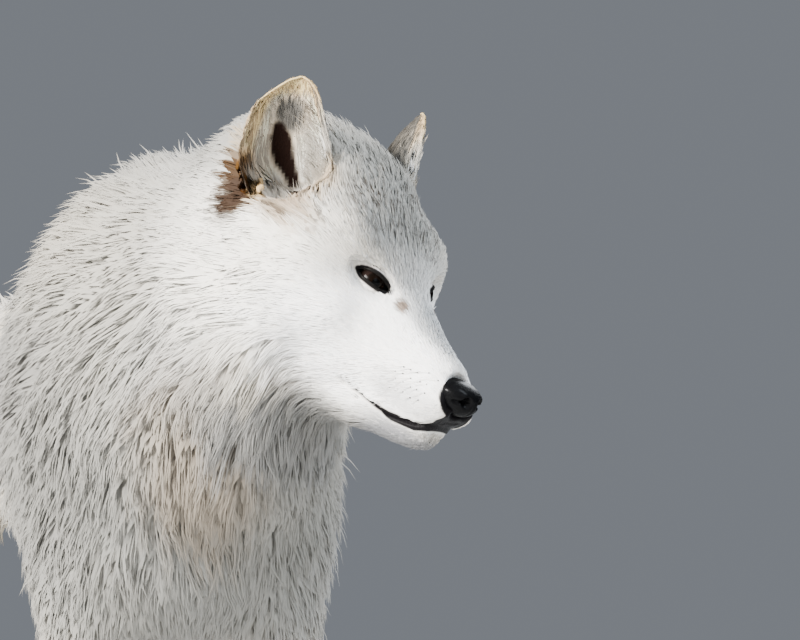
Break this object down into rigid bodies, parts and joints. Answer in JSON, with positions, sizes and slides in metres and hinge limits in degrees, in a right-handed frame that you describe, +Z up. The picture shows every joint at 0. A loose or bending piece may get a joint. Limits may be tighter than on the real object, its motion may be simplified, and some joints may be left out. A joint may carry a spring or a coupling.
{
  "type": "arctic wolf",
  "caption": "Life-size still model of a standing arctic wolf in thick white winter coat, head turned to its left and lowered a little, hindquarters swung right.",
  "frame": {"origin": "on the floor, under the middle of the bounding box", "axes": "+Z up; the body faces -Y; the wolf's left side is +X"},
  "size_m": [0.433, 1.2157, 0.8949],
  "materials": {
    "white_coat": "dense cream-white winter fur",
    "ear_coat": "short golden-tan fur",
    "nose_skin": "moist black skin",
    "eye": "wet dark brown"
  },
  "bodies": {
    "root": {"head": "white_coat", "lower_jaw": "white_coat", "neck": "white_coat", "trunk": "white_coat", "tail": "white_coat", "foreleg_left": "white_coat", "foreleg_right": "white_coat", "hindleg_left": "white_coat", "hindleg_right": "white_coat", "forepaw_left": "white_coat", "forepaw_right": "white_coat", "hindpaw_left": "white_coat", "hindpaw_right": "white_coat", "ear_left": "ear_coat", "ear_right": "ear_coat", "nose": "nose_skin", "eye_left": "eye", "eye_right": "eye"}
  },
  "joints": []
}
